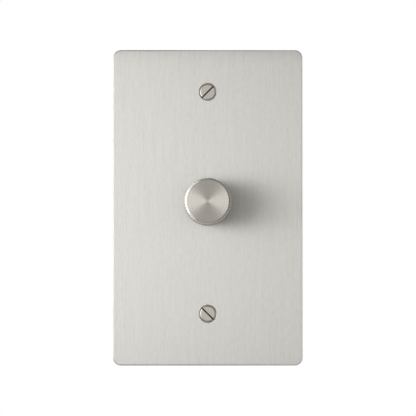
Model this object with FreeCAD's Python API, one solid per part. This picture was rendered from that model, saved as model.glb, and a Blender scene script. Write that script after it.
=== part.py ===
import FreeCAD
import Part
import math
import os

# A rotary push dimmer on a single-gang metal wall plate, in millimetres.
# +X is to the right of a person facing the plate, +Y goes into the wall and +Z is up.
# The origin is on the knob's axis, midway between the two fixing screws, in the plane of the wall.

# Wall plate and the gasket behind it
plate_width = 71.1
plate_top_margin = 15.76
plate_bottom_margin = 19.4
plate_thickness = 2.5
plate_corner_radius = 3.0
plate_edge_round = 0.4
gasket_thickness = 0.8
gasket_inset = 1.5
gasket_band = 6.0

# Countersunk screws that hold the plate to the wall box
screw_spacing = 83.34
screw_thread_radius = 1.75
screw_neck_radius = 1.45
screw_reach = 22.0
screw_head_radius = 3.05
screw_head_proud = 0.12
screw_head_chamfer = 0.28
screw_slot_width = 0.55
screw_slot_depth = 0.9
screw_slot_angle = 45.0
screw_hole_clearance = 0.15
countersink_margin = 0.35

# Knob
knob_length = 17.0
knob_collar_radius = 8.4
knob_bevel = 0.55
knob_front_collar = 3.0
knob_rear_collar = 3.0
knob_rear_chamfer = 0.4
knurl_root = 0.06
knurl_depth = 0.46
knurl_teeth = 46
knurl_rows = 5
knob_grip = 8.0
set_screw_radius = 1.5
set_screw_length = 4.6
set_screw_socket = 0.75

# Shaft, bush, nut and washer
shaft_radius = 3.0
shaft_flat_depth = 1.4
shaft_drive_depth = 0.7
bush_wall = 0.96
bush_standout = 1.0
bush_flange_thickness = 1.2
nut_wall = 1.6
nut_thickness = 2.2
washer_wall = 1.4
washer_tooth = 0.8
washer_teeth = 12
washer_thickness = 0.7
clip_wall = 1.9
clip_groove_depth = 0.6
clip_thickness = 0.6

# Movement of the knob
push_travel = 1.6
push_spare = 0.6
running_fit = 0.04
close_gap = 0.1
free_gap = 0.3

# Rotary control behind the bush
pot_wall = 1.2
pot_shoulder = 1.0
carrier_thickness = 1.8
carrier_hub_wall = 1.1
carrier_rim = 2.2
stop_height = 0.8
stop_tooth_angle = 20.0
stop_lug_angle = 40.0
wiper_rise = 1.2
wiper_foot = 0.66
wiper_leaf = 0.3
wafer_thickness = 1.2
wafer_tongue_width = 12.0
wafer_tongue_length = 4.0
track_pin_radius = 0.5
track_pin_pitch = 4.0
rivet_radius = 0.9
rivet_height = 0.5

# Push switch behind the rotary control
switch_wall = 1.2
plunger_radius = 4.8
plunger_wall = 1.3
plunger_floor = 1.5
plunger_length = 4.0
contact_thickness = 0.4
contact_ear = 1.2
contact_width = 3.0
contact_button_radius = 0.9
contact_button_height = 0.5
contact_pin_radius = 0.5
switch_base_thickness = 1.0
spring_wire = 0.5
spring_turns = 5
spring_steps = 12

# Module housing
case_wall = 1.6
case_corner_radius = 3.0
case_edge_round = 0.8
case_tongue = 1.0
case_tongue_wall = 0.9
peg_radius = 1.2
peg_length = 1.4
peg_height = 13.0
post_radius = 2.8
post_bury = 0.6
case_screw_radius = 1.25
case_screw_head_radius = 2.2
case_screw_head_height = 1.7
case_screw_bite = 9.0
case_screw_slot = 0.6
board_thickness = 1.6
pin_tail = 1.2
pin_hole_gap = 0.1

# Power stage on the heat sink
transistor_width = 10.0
transistor_body_length = 9.0
transistor_body_thickness = 4.5
transistor_tab_length = 6.0
transistor_tab_thickness = 1.3
transistor_pitch = 12.6
transistor_front_gap = 1.2
transistor_lift = 4.6
lead_pitch = 2.54
lead_width = 0.8
lead_thickness = 0.6
pad_thickness = 0.3
pad_margin = 0.5
heat_sink_thickness = 1.6
heat_sink_margin = 1.2
heat_sink_headroom = 0.5
power_screw_radius = 1.45
power_screw_head_radius = 2.7
power_screw_head_height = 1.9

# Parts on the rear of the circuit board
choke_core_radius = 6.5
choke_core_hole = 3.4
choke_core_height = 5.0
choke_wire = 0.7
choke_wound_angle = 300.0
choke_inset = 1.0
film_width = 5.0
film_length = 12.0
film_height = 7.6
film_inset = 1.5
storage_radius = 3.15
storage_height = 7.4
storage_inset = 1.5
fuse_radius = 1.7
fuse_length = 8.0
fuse_cap_length = 1.6
fuse_lead_radius = 0.35
fuse_gap = 0.35
trimmer_width = 6.4
trimmer_base_height = 4.0
trimmer_radius = 2.2
trimmer_sink = 0.4
trimmer_slot = 0.7
trimmer_drop = 4.6

# Wiring terminals
terminal_pitch = 8.4
terminal_count = 3
terminal_wall = 1.3
terminal_entry = 3.6
terminal_side = 0.9
terminal_floor = 1.0
terminal_clamp = 2.2
terminal_depth = 6.6
terminal_sill = 2.2
terminal_screw_radius = 1.5
terminal_head_radius = 2.1
terminal_head_height = 1.6
terminal_head_sink = 0.5
terminal_tip = 0.4

# Earth terminal on the back of the plate
earth_across = 12.0
earth_up = 31.0
earth_post_radius = 3.2
earth_post_length = 6.4
earth_screw_radius = 1.5
earth_screw_bite = 4.2
earth_head_radius = 2.9
earth_head_height = 2.0
earth_washer_thickness = 0.6

# Levels along the knob's axis, from the wall forwards
y_plate_back = -gasket_thickness
y_plate_front = y_plate_back - plate_thickness
y_washer_front = y_plate_front - washer_thickness
y_nut_front = y_washer_front - nut_thickness
y_bush_front = y_nut_front - bush_standout
y_knob_back = y_plate_front - push_travel - push_spare
y_knob_face = y_knob_back - knob_length
y_recess_floor = y_bush_front - push_travel - push_spare
y_shaft_front = y_recess_floor - knob_grip
y_bore_floor = y_shaft_front - free_gap
y_set_screw = y_recess_floor - knob_grip / 2

# Levels along the knob's axis, from the plate backwards
y_case_inside = y_plate_back + case_wall
y_flange_back = y_case_inside + bush_flange_thickness
y_clip_front = y_flange_back + close_gap
y_clip_back = y_clip_front + clip_thickness
y_shoulder_back = y_clip_back + push_travel + free_gap
y_carrier_front = y_shoulder_back + close_gap
y_carrier_back = y_carrier_front + carrier_thickness
y_wafer_front = y_carrier_back + wiper_rise + close_gap
y_wafer_back = y_wafer_front + wafer_thickness
y_plunger_front = y_wafer_back + switch_wall + close_gap
y_shaft_back = y_plunger_front - close_gap / 2
y_plunger_back = y_plunger_front + plunger_length
y_contact_back = y_plunger_back + contact_thickness
y_base_front = y_contact_back + push_travel + close_gap + contact_button_height
y_tab_front = y_case_inside + transistor_front_gap
y_body_front = y_tab_front + transistor_tab_length
y_tab_hole = y_body_front - power_screw_head_radius - free_gap
y_body_back = y_body_front + transistor_body_length
y_sink_back = y_body_back + pad_margin
y_board_front = max(y_base_front + switch_base_thickness, y_sink_back + free_gap)
y_board_back = y_board_front + board_thickness
y_cage_front = y_board_back + free_gap
y_entry_front = y_cage_front + terminal_floor
y_entry_back = y_entry_front + terminal_entry
y_cage_back = y_entry_back + terminal_clamp
y_head_back = y_cage_back + free_gap + terminal_head_height
y_choke_front = y_board_back + pin_tail + free_gap + choke_wire
y_choke_back = y_choke_front + choke_core_height
y_tallest = max(y_choke_back + choke_wire, y_board_back + film_height, y_board_back + storage_height)
y_cover_back = max(y_head_back + terminal_head_sink, y_tallest + free_gap + case_wall)
y_cover_inside = y_cover_back - case_wall

# Radii that follow from the pieces they fit
screw_hole_radius = screw_thread_radius + screw_hole_clearance
countersink_radius = screw_head_radius + countersink_margin
bush_radius = shaft_radius + running_fit + bush_wall
nut_radius = (bush_radius + nut_wall) / math.cos(math.pi / 6)
washer_radius = bush_radius + close_gap + washer_wall
recess_radius = max(nut_radius, washer_radius + washer_tooth) + free_gap
clip_radius = shaft_radius - clip_groove_depth + clip_wall + running_fit
hub_radius = shaft_radius + carrier_hub_wall
carrier_radius = hub_radius + close_gap + carrier_rim
stop_radius = carrier_radius + stop_height
pot_inside = stop_radius + close_gap
pot_radius = pot_inside + pot_wall
bush_flange_radius = pot_inside - free_gap
spring_radius = plunger_radius - plunger_wall - spring_wire - close_gap
button_across = plunger_radius + contact_ear / 2
button_reach = button_across + contact_button_radius + close_gap
switch_inside = max(plunger_radius + contact_ear + free_gap, button_reach)
switch_half = switch_inside + switch_wall
choke_radius = choke_core_radius + choke_wire

# Places across the module
plate_low = -screw_spacing / 2 - plate_bottom_margin
plate_high = screw_spacing / 2 + plate_top_margin
screw_heights = [-screw_spacing / 2, screw_spacing / 2]
transistor_places = [-transistor_pitch / 2, transistor_pitch / 2]
z_transistor_low = pot_radius + transistor_lift
z_transistor_top = z_transistor_low + transistor_body_thickness
z_pad_top = z_transistor_top + pad_thickness
z_sink_top = z_pad_top + heat_sink_thickness
z_lead = z_transistor_low + transistor_body_thickness / 2
sink_half = transistor_pitch / 2 + transistor_width / 2 + heat_sink_margin
cage_half = terminal_entry / 2 + terminal_side
terminal_places = [terminal_pitch * (k - (terminal_count - 1) / 2) for k in range(terminal_count)]
terminal_half = terminal_places[-1] + cage_half + close_gap + terminal_wall
board_margin = case_tongue_wall + close_gap + free_gap
post_room = 2 * post_radius - post_bury
fuse_leg = fuse_radius + fuse_lead_radius
fuse_reach = trimmer_width / 2 + fuse_gap + fuse_length + 2 * fuse_leg
choke_reach = 2 * choke_radius + choke_inset + free_gap
post_reach = max(sink_half, terminal_half) + free_gap + post_room
inside_half = max(post_reach, max(fuse_reach, choke_reach) + board_margin)
post_across = inside_half - post_radius + post_bury
inside_high = max(z_sink_top + heat_sink_headroom, choke_reach + post_room)
post_up = inside_high - post_radius + post_bury
case_half = inside_half + case_wall
case_high = inside_high + case_wall
post_places = [(sx * post_across, sz * post_up) for sx in (-1, 1) for sz in (-1, 1)]
z_cage_low = -case_high + terminal_sill
z_cage_high = z_cage_low + terminal_depth
terminal_high = z_cage_high + close_gap + terminal_wall
z_track_pins = -pot_radius - wafer_tongue_length / 2 + rivet_radius
track_pin_places = [(step * track_pin_pitch, z_track_pins) for step in (-1, 0, 1)]
contact_places = [(-button_across, 0.0), (button_across, 0.0)]
choke_place = (-choke_radius - choke_inset, choke_radius + choke_inset)
storage_place = (storage_radius + storage_inset, storage_radius + storage_inset + contact_pin_radius)
film_low_x = storage_place[0] + storage_radius + film_inset
film_low_z = storage_inset
fuse_far = fuse_leg - fuse_reach
fuse_near = fuse_far + fuse_length
trimmer_place = (0.0, -trimmer_drop)
terminal_up = (z_cage_low + z_cage_high) / 2

# Places of the pins that go through the circuit board
lead_pins = [(x + step * lead_pitch, z_lead) for x in transistor_places for step in (-1, 0, 1)]
choke_pins = [(choke_place[0] + side * choke_core_hole, choke_place[1] - choke_core_hole) for side in (-1, 1)]
storage_pins = [(storage_place[0], storage_place[1] + side * storage_radius / 2) for side in (-1, 1)]
film_middle = film_low_x + film_width / 2
film_ends = (film_low_z + film_width / 2, film_low_z + film_length - film_width / 2)
film_pins = [(film_middle, z) for z in film_ends]
trimmer_pins = [(trimmer_place[0] + side * trimmer_width / 4, trimmer_place[1]) for side in (-1, 1)]
fuse_pins = [(fuse_far - fuse_radius, -trimmer_drop), (fuse_near + fuse_radius, -trimmer_drop)]
terminal_pins = [(x, terminal_up) for x in terminal_places]
board_pins = choke_pins + storage_pins + film_pins + trimmer_pins + fuse_pins + terminal_pins

V = FreeCAD.Vector
INWARD = V(0, 1, 0)
UP = V(0, 0, 1)
RIGHT = V(1, 0, 0)


# A round bar along the knob's axis, from level y0 back to level y1
def bar(radius, y0, y1, x=0.0, z=0.0):
    return Part.makeCylinder(radius, y1 - y0, V(x, y0, z), INWARD)


# A round bar standing up, from height z0 to height z1
def column(radius, z0, z1, x=0.0, y=0.0):
    return Part.makeCylinder(radius, z1 - z0, V(x, y, z0), UP)


# A ring around the knob's axis or around a line beside it
def ring(outer, inner, y0, y1, x=0.0, z=0.0):
    return bar(outer, y0, y1, x, z).cut(bar(inner, y0, y1, x, z))


# A rectangular block between two limits on each axis
def block(x0, x1, y0, y1, z0, z1):
    return Part.makeBox(x1 - x0, y1 - y0, z1 - z0, V(x0, y0, z0))


# A block whose four edges along the knob's axis are rounded
def slab(half_width, z0, z1, y0, y1, corner):
    body = block(-half_width, half_width, y0, y1, z0, z1)
    edges = [e for e in body.Edges if abs(e.tangentAt(e.FirstParameter).y) > 0.99]
    return body.makeFillet(corner, edges)


# The edges of a shape that lie in one level
def edges_at(shape, y):
    return [e for e in shape.Edges if all(abs(v.Y - y) < 1e-6 for v in e.Vertexes)]


# A turned piece from its profile of radius and level
def turned(profile, angle=360.0):
    points = [V(radius, y, 0) for radius, y in profile]
    face = Part.Face(Part.makePolygon(points + points[:1]))
    return face.revolve(V(0, 0, 0), INWARD, angle)


# A flat outline drawn in the level y0 and carried back to y1
def plate_from(outline, y0, y1):
    points = [V(x, y0, z) for x, z in outline]
    face = Part.Face(Part.makePolygon(points + points[:1]))
    return face.extrude(V(0, y1 - y0, 0))


# A sector of a ring, centred on straight up turned by the given angle
def sector(outer, inner, y0, y1, width, centre=0.0):
    piece = turned([(inner, y0), (outer, y0), (outer, y1), (inner, y1)], width)
    piece.rotate(V(0, 0, 0), INWARD, -90.0 - width / 2 + centre)
    return piece


def joined(first, *others):
    return first.fuse(list(others)).removeSplitter()


def less(body, *tools):
    return body.cut(list(tools))


# Holes through the circuit board for round pins
def pin_hole(radius, x, z):
    return bar(radius + pin_hole_gap, y_board_front, y_board_back, x, z)


# Brushed metal plate with countersunk screw holes and a blind hole behind for the module's peg
def face_plate():
    plate = slab(plate_width / 2, plate_low, plate_high, y_plate_front, y_plate_back, plate_corner_radius)
    plate = plate.makeFillet(plate_edge_round, edges_at(plate, y_plate_front))
    tools = [bar(bush_radius + close_gap, y_plate_front, y_plate_back)]
    sink = countersink_radius - screw_hole_radius
    for z in screw_heights:
        tools.append(bar(screw_hole_radius, y_plate_front, y_plate_back, 0, z))
        mouth = Part.makeCone(countersink_radius, screw_hole_radius, sink, V(0, y_plate_front, z), INWARD)
        tools.append(mouth)
    y_peg = y_plate_back - peg_length - close_gap
    tools.append(bar(peg_radius + close_gap, y_peg, y_plate_back, 0, peg_height))
    return less(plate, *tools)


# Foam frame between the plate's rim and the wall
def plate_gasket():
    half = plate_width / 2 - gasket_inset
    low = plate_low + gasket_inset
    high = plate_high - gasket_inset
    corner = max(plate_corner_radius - gasket_inset, gasket_inset)
    outer = slab(half, low, high, y_plate_back, 0, corner)
    inner = slab(half - gasket_band, low + gasket_band, high - gasket_band, y_plate_back, 0, corner)
    return outer.cut(inner)


# Slotted countersunk screws with a waisted neck inside the plate
def plate_screws():
    y_top = y_plate_front - screw_head_proud
    y_rim = y_plate_front + countersink_margin - close_gap / 4
    profile = [(0, y_top)]
    profile.append((screw_head_radius - screw_head_chamfer, y_top))
    profile.append((screw_head_radius, y_top + screw_head_chamfer))
    profile.append((screw_head_radius, y_rim))
    profile.append((screw_neck_radius, y_rim + screw_head_radius - screw_neck_radius))
    profile.append((screw_neck_radius, 0))
    profile.append((screw_thread_radius, 0))
    profile.append((screw_thread_radius, screw_reach - screw_thread_radius / 2))
    profile.append((screw_thread_radius / 2, screw_reach))
    profile.append((0, screw_reach))
    blank = turned(profile)
    reach = 2 * screw_head_radius
    half_slot = screw_slot_width / 2
    screws = []
    for z in screw_heights:
        slot = block(-reach, reach, y_top, y_top + screw_slot_depth, -half_slot, half_slot)
        slot.rotate(V(0, 0, 0), INWARD, -math.copysign(screw_slot_angle, z))
        screw = blank.cut(slot)
        screw.translate(V(0, 0, z))
        screws.append(screw)
    return Part.makeCompound(screws)


# The knurled band: pyramids between two sets of crossing helical grooves, with the end rows cut off at 45 degrees
def knurl_band(y0, y1):
    columns = 2 * knurl_teeth
    rows = 2 * knurl_rows
    valley = knob_collar_radius + knurl_root
    peak = valley + knurl_depth

    def corner(i, j):
        outer = (i + j) % 2 == 1
        radius = peak if outer else valley
        angle = 2 * math.pi * (i % columns) / columns
        y = y0 + (y1 - y0) * j / rows
        if outer and j == 0:
            y += knurl_depth
        if outer and j == rows:
            y -= knurl_depth
        return V(radius * math.cos(angle), y, radius * math.sin(angle))

    triangles = []
    for j in (0, rows):
        triangles += [(corner(i - 1, j), corner(i, j), corner(i + 1, j)) for i in range(1, columns, 2)]
    for j in range(rows):
        for i in range(columns):
            a = corner(i, j)
            b = corner(i + 1, j)
            c = corner(i + 1, j + 1)
            d = corner(i, j + 1)
            if (i + j) % 2 == 1:
                triangles += [(a, b, d), (b, c, d)]
            else:
                triangles += [(a, b, c), (a, c, d)]
    faces = [Part.Face(Part.makePolygon([a, b, c, a])) for a, b, c in triangles]
    for j in (0, rows):
        rim = [corner(i, j) for i in range(0, columns, 2)]
        faces.append(Part.Face(Part.makePolygon(rim + rim[:1])))
    shell = Part.makeShell(faces)
    shell.sewShape()
    return Part.makeSolid(shell)


# Solid metal knob, knurled between two plain collars, with a bevelled face and a recess over the nut
def knob():
    face_radius = knob_collar_radius - knob_bevel
    profile = [(0, y_knob_face)]
    profile.append((face_radius, y_knob_face))
    profile.append((knob_collar_radius, y_knob_face + knob_bevel))
    profile.append((knob_collar_radius, y_knob_back - knob_rear_chamfer))
    profile.append((knob_collar_radius - knob_rear_chamfer, y_knob_back))
    profile.append((0, y_knob_back))
    band = knurl_band(y_knob_face + knob_front_collar, y_knob_back - knob_rear_collar)
    body = turned(profile).fuse(band)
    recess = bar(recess_radius, y_recess_floor, y_knob_back)
    bore = bar(shaft_radius + running_fit, y_bore_floor, y_recess_floor)
    reach = knob_collar_radius + knurl_root + knurl_depth + free_gap
    tapping = column(set_screw_radius + running_fit, -reach, 0, 0, y_set_screw)
    return less(body, recess, bore, tapping)


# Headless screw that grips the shaft's flat from below
def knob_set_screw():
    z_tip = -(shaft_radius - shaft_flat_depth)
    z_end = z_tip - set_screw_length
    screw = column(set_screw_radius, z_end, z_tip, 0, y_set_screw)
    corners = []
    for k in range(6):
        angle = math.pi * k / 3
        y = y_set_screw + set_screw_socket * math.sin(angle)
        corners.append(V(set_screw_socket * math.cos(angle), y, z_end))
    socket = Part.Face(Part.makePolygon(corners + corners[:1])).extrude(V(0, 0, set_screw_length / 2))
    return screw.cut(socket)


# Shaft with a flat for the set screw, a groove for the clip and two drive flats at the rear
def control_shaft():
    shaft = bar(shaft_radius, y_shaft_front, y_shaft_back)
    flat_z = -(shaft_radius - shaft_flat_depth)
    flat = block(-shaft_radius, shaft_radius, y_shaft_front, y_recess_floor, -2 * shaft_radius, flat_z)
    groove = ring(2 * shaft_radius, shaft_radius - clip_groove_depth, y_clip_front, y_clip_back)
    drive_z = shaft_radius - shaft_drive_depth
    y_drive = y_clip_back + free_gap
    upper = block(-shaft_radius, shaft_radius, y_drive, y_shaft_back, drive_z, 2 * shaft_radius)
    lower = block(-shaft_radius, shaft_radius, y_drive, y_shaft_back, -2 * shaft_radius, -drive_z)
    return less(shaft, flat, groove, upper, lower)


# Open retaining clip in the shaft's groove
def shaft_clip():
    hold = shaft_radius - clip_groove_depth + running_fit
    clip = ring(clip_radius, hold, y_clip_front + running_fit, y_clip_back - running_fit)
    mouth = block(-hold, hold, y_clip_front, y_clip_back, 0, 2 * clip_radius)
    return clip.cut(mouth)


# Threaded bush that carries the shaft and clamps the module to the plate
def threaded_bush():
    barrel = bar(bush_radius, y_bush_front, y_flange_back)
    flange = bar(bush_flange_radius, y_case_inside, y_flange_back)
    bore = bar(shaft_radius + running_fit, y_bush_front, y_flange_back)
    return joined(barrel, flange).cut(bore)


# Hexagonal nut with its front corners turned off
def bush_nut():
    corners = []
    for k in range(6):
        angle = math.pi * (k + 0.5) / 3
        corners.append((nut_radius * math.cos(angle), nut_radius * math.sin(angle)))
    prism = plate_from(corners, y_nut_front, y_washer_front)
    across = nut_radius * math.cos(math.pi / 6)
    rise = nut_radius - across
    profile = [(0, y_nut_front), (across, y_nut_front), (nut_radius, y_nut_front + rise)]
    profile += [(nut_radius, y_washer_front), (0, y_washer_front)]
    nut = prism.common(turned(profile))
    return nut.cut(bar(bush_radius + running_fit, y_nut_front, y_washer_front))


# Toothed locking washer under the nut
def lock_washer():
    washer = bar(washer_radius, y_washer_front, y_plate_front)
    teeth = []
    tip = washer_radius + washer_tooth
    root = bush_radius + washer_wall
    pitch = 360.0 / washer_teeth
    for k in range(washer_teeth):
        teeth.append(sector(tip, root, y_washer_front, y_plate_front, pitch / 2, k * pitch))
    return joined(washer, *teeth).cut(bar(bush_radius + close_gap, y_washer_front, y_plate_front))


# Round shell of the rotary control, with a shoulder for the rotor and a lug that stops its turn
def pot_case():
    shell = ring(pot_radius, pot_inside, y_case_inside, y_wafer_back)
    shoulder = ring(pot_radius, clip_radius + free_gap, y_shoulder_back - pot_shoulder, y_shoulder_back)
    y_lug = y_carrier_back - close_gap
    lug = sector(pot_radius, carrier_radius + close_gap, y_shoulder_back, y_lug, stop_lug_angle, 180.0)
    half = wafer_tongue_width / 2 + close_gap
    gate = block(-half, half, y_wafer_front, y_wafer_back, -2 * pot_radius, 0)
    return less(joined(shell, shoulder, lug), gate.cut(bar(pot_inside, y_wafer_front, y_wafer_back)))


# Rotor that slides on the shaft's flats and carries the wiper
def wiper_carrier():
    disc = bar(carrier_radius, y_carrier_front, y_carrier_back)
    tooth = sector(stop_radius, carrier_radius / 2, y_carrier_front, y_carrier_back, stop_tooth_angle)
    hub = bar(hub_radius, y_carrier_front, y_wafer_front - close_gap)
    bore = bar(shaft_radius + close_gap, y_carrier_front, y_wafer_back)
    drive_z = shaft_radius - shaft_drive_depth + close_gap
    flats = block(-pot_radius, pot_radius, y_carrier_front, y_wafer_back, -drive_z, drive_z)
    return joined(disc, tooth, hub).cut(bore.common(flats))


# Spring leaf on the rotor whose raised tip rubs the track
def wiper_spring():
    hoop = ring(carrier_radius, hub_radius + close_gap, y_carrier_back, y_carrier_back + wiper_leaf)
    width = carrier_rim
    y_low = y_carrier_back + wiper_leaf
    y_high = y_carrier_back + wiper_rise
    foot = y_low - wiper_leaf
    tip = y_high - wiper_leaf
    back = -width - wiper_foot
    outline = [(back, y_low), (back, foot), (-width, foot), (0, tip)]
    outline += [(width / 2, tip), (width / 2, y_high), (0, y_high), (-width, y_low)]
    points = [V(x, y, hub_radius + 2 * close_gap) for x, y in outline]
    leaf = Part.Face(Part.makePolygon(points + points[:1])).extrude(V(0, 0, width - 4 * close_gap))
    return joined(hoop, leaf)


# Insulating disc that carries the resistance track, with a tongue for its pins
def track_wafer():
    disc = bar(pot_inside - close_gap / 2, y_wafer_front, y_wafer_back)
    half = wafer_tongue_width / 2
    z_tongue = -pot_radius - wafer_tongue_length
    tongue = block(-half, half, y_wafer_front, y_wafer_back, z_tongue, -pot_inside / 2)
    body = joined(disc, tongue)
    tools = [bar(shaft_radius + free_gap, y_wafer_front, y_wafer_back)]
    for x, z in track_pin_places:
        tools.append(bar(track_pin_radius, y_wafer_front, y_wafer_back, x, z))
    return less(body, *tools)


# Riveted pins from the track to the circuit board
def track_terminals():
    pins = []
    for x, z in track_pin_places:
        pin = bar(track_pin_radius, y_wafer_front - rivet_height, y_board_back + pin_tail, x, z)
        head = bar(rivet_radius, y_wafer_front - rivet_height, y_wafer_front, x, z)
        pins.append(joined(pin, head))
    return Part.makeCompound(pins)


# Square shell of the push switch
def switch_case():
    shell = block(-switch_half, switch_half, y_wafer_back, y_base_front, -switch_half, switch_half)
    inside = switch_inside
    room = block(-inside, inside, y_wafer_back + switch_wall, y_base_front, -inside, inside)
    hole = bar(shaft_radius + free_gap, y_wafer_back, y_wafer_back + switch_wall)
    return less(shell, room, hole)


# Floor of the push switch, which holds the fixed contacts
def switch_base():
    base = block(-switch_half, switch_half, y_base_front, y_board_front, -switch_half, switch_half)
    holes = [bar(contact_pin_radius, y_base_front, y_board_front, x, z) for x, z in contact_places]
    return less(base, *holes)


# Cup that the shaft pushes back against the spring
def switch_plunger():
    cup = bar(plunger_radius, y_plunger_front, y_plunger_back)
    return cup.cut(bar(plunger_radius - plunger_wall, y_plunger_front + plunger_floor, y_plunger_back))


# Bridge on the plunger's rim that joins the two fixed contacts when it is pushed
def moving_contact():
    hoop = bar(plunger_radius, y_plunger_back, y_contact_back)
    reach = plunger_radius + contact_ear
    ears = block(-reach, reach, y_plunger_back, y_contact_back, -contact_width / 2, contact_width / 2)
    return joined(hoop, ears).cut(bar(plunger_radius - plunger_wall, y_plunger_back, y_contact_back))


# Two rivets with pins through the base to the circuit board
def fixed_contacts():
    contacts = []
    for x, z in contact_places:
        button = bar(contact_button_radius, y_base_front - contact_button_height, y_base_front, x, z)
        pin = bar(contact_pin_radius, y_base_front, y_board_back + pin_tail, x, z)
        contacts.append(joined(button, pin))
    return Part.makeCompound(contacts)


# Coil spring inside the plunger, bent from short straight lengths of square wire
def switch_spring():
    y0 = y_plunger_front + plunger_floor + spring_wire / 2 + close_gap
    y1 = y_base_front - spring_wire / 2 - close_gap
    steps = spring_turns * spring_steps
    path = []
    for k in range(steps + 1):
        angle = 2 * math.pi * k / spring_steps
        y = y0 + (y1 - y0) * k / steps
        path.append(V(spring_radius * math.cos(angle), y, spring_radius * math.sin(angle)))
    half = spring_wire / 2
    corners = []
    for dr, dy in ((-half, -half), (half, -half), (half, half), (-half, half)):
        corners.append(V(spring_radius + dr, y0 + dy, 0))
    section = Part.makePolygon(corners + corners[:1])
    return Part.Wire(Part.makePolygon(path)).makePipeShell([section], True, False, 1)


# Front half of the module's housing, with four screw posts and a locating peg
def front_case():
    shell = slab(case_half, -case_high, case_high, y_plate_back, y_board_back, case_corner_radius)
    corner = case_corner_radius - case_wall
    room = slab(inside_half, -inside_high, inside_high, y_case_inside, y_board_back, corner)
    posts = [bar(post_radius, y_plate_back, y_board_front, x, z) for x, z in post_places]
    peg = bar(peg_radius, y_plate_back - peg_length, y_case_inside, 0, peg_height)
    body = joined(shell.cut(room), peg, *posts)
    y_pilot = y_board_front - case_screw_bite - free_gap
    tools = [bar(case_screw_radius + running_fit, y_pilot, y_board_front, x, z) for x, z in post_places]
    tools.append(bar(bush_radius + close_gap, y_plate_back, y_case_inside))
    return less(body, *tools)


# Rear half of the housing, cut away at the bottom for the terminal block
def rear_cover():
    shell = slab(case_half, -case_high, case_high, y_board_back, y_cover_back, case_corner_radius)
    shell = shell.makeFillet(case_edge_round, edges_at(shell, y_cover_back))
    corner = case_corner_radius - case_wall
    room = slab(inside_half, -inside_high, inside_high, y_board_back, y_cover_inside, corner)
    y_tongue = y_board_back - case_tongue
    half = inside_half - close_gap
    high = inside_high - close_gap
    lip = slab(half, -high, high, y_tongue, y_board_back + case_wall, corner)
    hollow_half = half - case_tongue_wall
    hollow_high = high - case_tongue_wall
    hollow = slab(hollow_half, -hollow_high, hollow_high, y_tongue, y_board_back + case_wall, corner)
    posts = [bar(post_radius, y_board_back, y_cover_back, x, z) for x, z in post_places]
    clear = [bar(post_radius + close_gap, y_tongue, y_board_back, x, z) for x, z in post_places]
    body = joined(shell.cut(room), less(lip, hollow, *clear), *posts)
    tools = []
    for x, z in post_places:
        tools.append(bar(case_screw_radius + close_gap, y_board_back, y_cover_back, x, z))
        y_seat = y_cover_back - case_screw_head_height - close_gap
        tools.append(bar(case_screw_head_radius + close_gap, y_seat, y_cover_back, x, z))
    notch = terminal_half + close_gap
    tools.append(block(-notch, notch, y_tongue, y_cover_back, -case_high, terminal_high + close_gap))
    tools.append(bar(trimmer_radius + close_gap, y_cover_inside, y_cover_back, *trimmer_place))
    return less(body, *tools)


# Screws that hold the two halves of the housing together
def case_screws():
    y_seat = y_cover_back - case_screw_head_height - close_gap
    half_slot = case_screw_slot / 2
    y_slot = y_seat + case_screw_head_height / 2
    screws = []
    for x, z in post_places:
        shank = bar(case_screw_radius, y_board_front - case_screw_bite, y_seat, x, z)
        head = bar(case_screw_head_radius, y_seat, y_seat + case_screw_head_height, x, z)
        reach = 2 * case_screw_head_radius
        slot = block(x - reach, x + reach, y_slot, y_cover_back, z - half_slot, z + half_slot)
        screws.append(joined(shank, head).cut(slot))
    return Part.makeCompound(screws)


# Circuit board held between the posts of both halves
def circuit_board():
    half = inside_half - board_margin
    high = inside_high - board_margin
    board = block(-half, half, y_board_front, y_board_back, -high, high)
    holes = []
    way = case_screw_radius + free_gap
    for x, z in post_places:
        holes.append(bar(way, y_board_front, y_board_back, x, z))
        x0, x1 = sorted((x - math.copysign(way, x), math.copysign(inside_half, x)))
        z0, z1 = sorted((z, math.copysign(inside_high, z)))
        holes.append(block(x0, x1, y_board_front, y_board_back, z0, z1))
    holes += [pin_hole(track_pin_radius, x, z) for x, z in track_pin_places]
    holes += [pin_hole(contact_pin_radius, x, z) for x, z in contact_places]
    holes += [pin_hole(math.hypot(lead_width, lead_thickness) / 2, x, z) for x, z in lead_pins]
    holes += [pin_hole(lead_width / 2, x, z) for x, z in board_pins]
    return less(board, *holes)


# A pin trimmed flush with the front of the board, up to the given level behind it
def tail(radius, x, z, y_end):
    return bar(radius, y_board_front, y_end, x, z)


# Thin pins of a part that sits on the board
def pins_of(places):
    return [tail(fuse_lead_radius, x, z, y_board_back) for x, z in places]


# Transistors with their tabs towards the front and their leads through the board
def power_transistors():
    pieces = []
    half = transistor_width / 2
    for x in transistor_places:
        body = block(x - half, x + half, y_body_front, y_body_back, z_transistor_low, z_transistor_top)
        z_tab = z_transistor_top - transistor_tab_thickness
        tab = block(x - half, x + half, y_tab_front, y_body_front, z_tab, z_transistor_top)
        leads = []
        z0 = z_lead - lead_thickness / 2
        z1 = z0 + lead_thickness
        for step in (-1, 0, 1):
            x0 = x + step * lead_pitch - lead_width / 2
            leads.append(block(x0, x0 + lead_width, y_body_back, y_board_back + pin_tail, z0, z1))
        hole = column(power_screw_radius + free_gap, z_tab, z_transistor_top, x, y_tab_hole)
        pieces.append(joined(body, tab, *leads).cut(hole))
    return Part.makeCompound(pieces)


# Thin pads that insulate the transistors from the heat sink
def insulating_pads():
    pieces = []
    half = transistor_width / 2 + pad_margin
    for x in transistor_places:
        pad = block(x - half, x + half, y_tab_front - pad_margin, y_sink_back, z_transistor_top, z_pad_top)
        hole = column(power_screw_radius + free_gap, z_transistor_top, z_pad_top, x, y_tab_hole)
        pieces.append(pad.cut(hole))
    return Part.makeCompound(pieces)


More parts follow.
